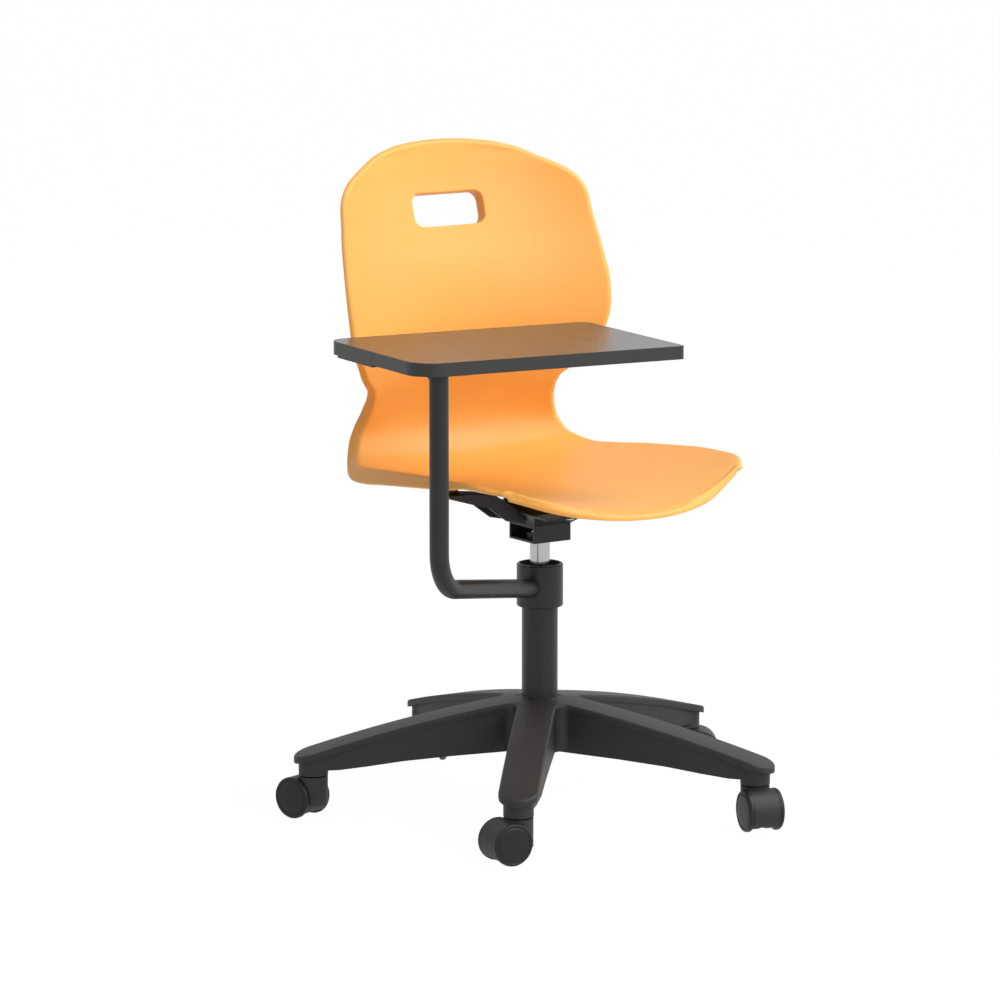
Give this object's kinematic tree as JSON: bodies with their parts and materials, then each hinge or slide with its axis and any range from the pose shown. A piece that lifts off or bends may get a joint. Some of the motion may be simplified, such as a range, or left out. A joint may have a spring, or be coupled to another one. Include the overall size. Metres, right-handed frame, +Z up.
{
  "type": "tablet arm chair",
  "caption": "Swivel chair with a moulded seat shell on a gas lift, a writing tablet on a J-shaped tube arm and a star base on casters",
  "frame": {"origin": "on the floor, under the axis of the column", "axes": "+Z up; the sitter faces -Y, so the sitter's right hand, where the tablet arm stands, is -X"},
  "size_m": [0.7018, 0.6959, 0.9152],
  "materials": {
    "shell_plastic": "fine satin, moulded polypropylene",
    "black_paint": "satin black powder coat",
    "bright_steel": "polished gas cylinder",
    "steel": "zinc plated",
    "nylon": "self-lubricating nylon",
    "black_plastic": "fine texture, glass-filled nylon",
    "wheel_plastic": "smooth nylon",
    "black_rubber": "matt",
    "tablet_top": "semi-gloss dark laminate",
    "edging": "satin edge strip",
    "board": "particle board core"
  },
  "bodies": {
    "base": {"base_star": "black_plastic", "column_tube": "black_paint", "column_bush": "nylon", "thrust_bearing": "steel"},
    "arm": {"arm_collar": "black_paint", "collar_liner": "nylon", "thrust_washer": "nylon", "arm_tube": "black_paint", "tablet_plate": "black_paint", "tablet_gusset": "black_paint", "tablet_board": "board", "tablet_edging": "edging", "tablet_laminate": "tablet_top", "tablet_screws": "steel"},
    "rod": {"piston_rod": "steel", "piston": "steel", "column_buffer": "black_rubber", "base_clip": "steel"},
    "seat": {"gas_cylinder": "bright_steel", "cylinder_gland": "black_rubber", "seat_box": "black_paint", "taper_socket": "black_paint", "seat_spider": "black_paint", "seat_shell": "shell_plastic", "seat_screws": "steel", "seat_pads": "black_rubber", "lever_pin": "black_paint"},
    "lever": {"release_lever": "black_paint", "lever_grip": "black_plastic"},
    "button": {"release_button": "steel"},
    "caster_1": {"caster_1_housing": "black_plastic", "caster_1_stem": "steel", "caster_1_axle": "steel"},
    "wheel_1a": {"caster_1_wheel_a": "wheel_plastic"},
    "wheel_1b": {"caster_1_wheel_b": "wheel_plastic"},
    "caster_2": {"caster_2_housing": "black_plastic", "caster_2_stem": "steel", "caster_2_axle": "steel"},
    "wheel_2a": {"caster_2_wheel_a": "wheel_plastic"},
    "wheel_2b": {"caster_2_wheel_b": "wheel_plastic"},
    "caster_3": {"caster_3_housing": "black_plastic", "caster_3_stem": "steel", "caster_3_axle": "steel"},
    "wheel_3a": {"caster_3_wheel_a": "wheel_plastic"},
    "wheel_3b": {"caster_3_wheel_b": "wheel_plastic"},
    "caster_4": {"caster_4_housing": "black_plastic", "caster_4_stem": "steel", "caster_4_axle": "steel"},
    "wheel_4a": {"caster_4_wheel_a": "wheel_plastic"},
    "wheel_4b": {"caster_4_wheel_b": "wheel_plastic"},
    "caster_5": {"caster_5_housing": "black_plastic", "caster_5_stem": "steel", "caster_5_axle": "steel"},
    "wheel_5a": {"caster_5_wheel_a": "wheel_plastic"},
    "wheel_5b": {"caster_5_wheel_b": "wheel_plastic"}
  },
  "joints": [
    {"name": "arm_swing", "type": "hinge", "parent": "base", "child": "arm", "pos_m": [0, 0, 0.33], "axis": [0, 0, 1], "continuous": true},
    {"name": "seat_turn", "type": "hinge", "parent": "arm", "child": "rod", "pos_m": [0, 0, 0.1], "axis": [0, 0, 1], "range_deg": [-100, 12]},
    {"name": "seat_lift", "type": "slide", "parent": "rod", "child": "seat", "axis": [0, 0, 1], "range_m": [-0.015, 0.085]},
    {"name": "lever_lift", "type": "hinge", "parent": "seat", "child": "lever", "pos_m": [0.025, 0, 0.3956], "axis": [0, -1, 0], "range_deg": [0, 5.5]},
    {"name": "button_press", "type": "slide", "parent": "seat", "child": "button", "axis": [0, 0, -1], "range_m": [0, 0.0027]},
    {"name": "swivel_1", "type": "hinge", "parent": "base", "child": "caster_1", "pos_m": [0.31078, 0.08037, 0.075], "axis": [0, 0, 1], "continuous": true},
    {"name": "roll_1a", "type": "hinge", "parent": "caster_1", "child": "wheel_1a", "pos_m": [0.3281, 0.07037, 0.029], "axis": [0.5, 0.866, 0], "continuous": true},
    {"name": "roll_1b", "type": "hinge", "parent": "caster_1", "child": "wheel_1b", "pos_m": [0.3281, 0.07037, 0.029], "axis": [0.5, 0.866, 0], "continuous": true},
    {"name": "swivel_2", "type": "hinge", "parent": "base", "child": "caster_2", "pos_m": [0.0196, 0.3204, 0.075], "axis": [0, 0, 1], "continuous": true},
    {"name": "roll_2a", "type": "hinge", "parent": "caster_2", "child": "wheel_2a", "pos_m": [0.03374, 0.33454, 0.029], "axis": [-0.7071, 0.7071, 0], "continuous": true},
    {"name": "roll_2b", "type": "hinge", "parent": "caster_2", "child": "wheel_2b", "pos_m": [0.03374, 0.33454, 0.029], "axis": [-0.7071, 0.7071, 0], "continuous": true},
    {"name": "swivel_3", "type": "hinge", "parent": "base", "child": "caster_3", "pos_m": [-0.29866, 0.11765, 0.075], "axis": [0, 0, 1], "continuous": true},
    {"name": "roll_3a", "type": "hinge", "parent": "caster_3", "child": "wheel_3a", "pos_m": [-0.30484, 0.13667, 0.029], "axis": [-0.9511, -0.309, 0], "continuous": true},
    {"name": "roll_3b", "type": "hinge", "parent": "caster_3", "child": "wheel_3b", "pos_m": [-0.30484, 0.13667, 0.029], "axis": [-0.9511, -0.309, 0], "continuous": true},
    {"name": "swivel_4", "type": "hinge", "parent": "base", "child": "caster_4", "pos_m": [-0.20418, -0.24769, 0.075], "axis": [0, 0, 1], "continuous": true},
    {"name": "roll_4a", "type": "hinge", "parent": "caster_4", "child": "wheel_4a", "pos_m": [-0.2241, -0.24595, 0.029], "axis": [-0.0872, -0.9962, 0], "continuous": true},
    {"name": "roll_4b", "type": "hinge", "parent": "caster_4", "child": "wheel_4b", "pos_m": [-0.2241, -0.24595, 0.029], "axis": [-0.0872, -0.9962, 0], "continuous": true},
    {"name": "swivel_5", "type": "hinge", "parent": "base", "child": "caster_5", "pos_m": [0.17247, -0.27073, 0.075], "axis": [0, 0, 1], "continuous": true},
    {"name": "roll_5a", "type": "hinge", "parent": "caster_5", "child": "wheel_5a", "pos_m": [0.1673, -0.29005, 0.029], "axis": [0.9659, -0.2588, 0], "continuous": true},
    {"name": "roll_5b", "type": "hinge", "parent": "caster_5", "child": "wheel_5b", "pos_m": [0.1673, -0.29005, 0.029], "axis": [0.9659, -0.2588, 0], "continuous": true}
  ],
  "couplings": [
    {"joint": "button_press", "follows": "lever_lift", "m_per_rad": 0.028}
  ]
}
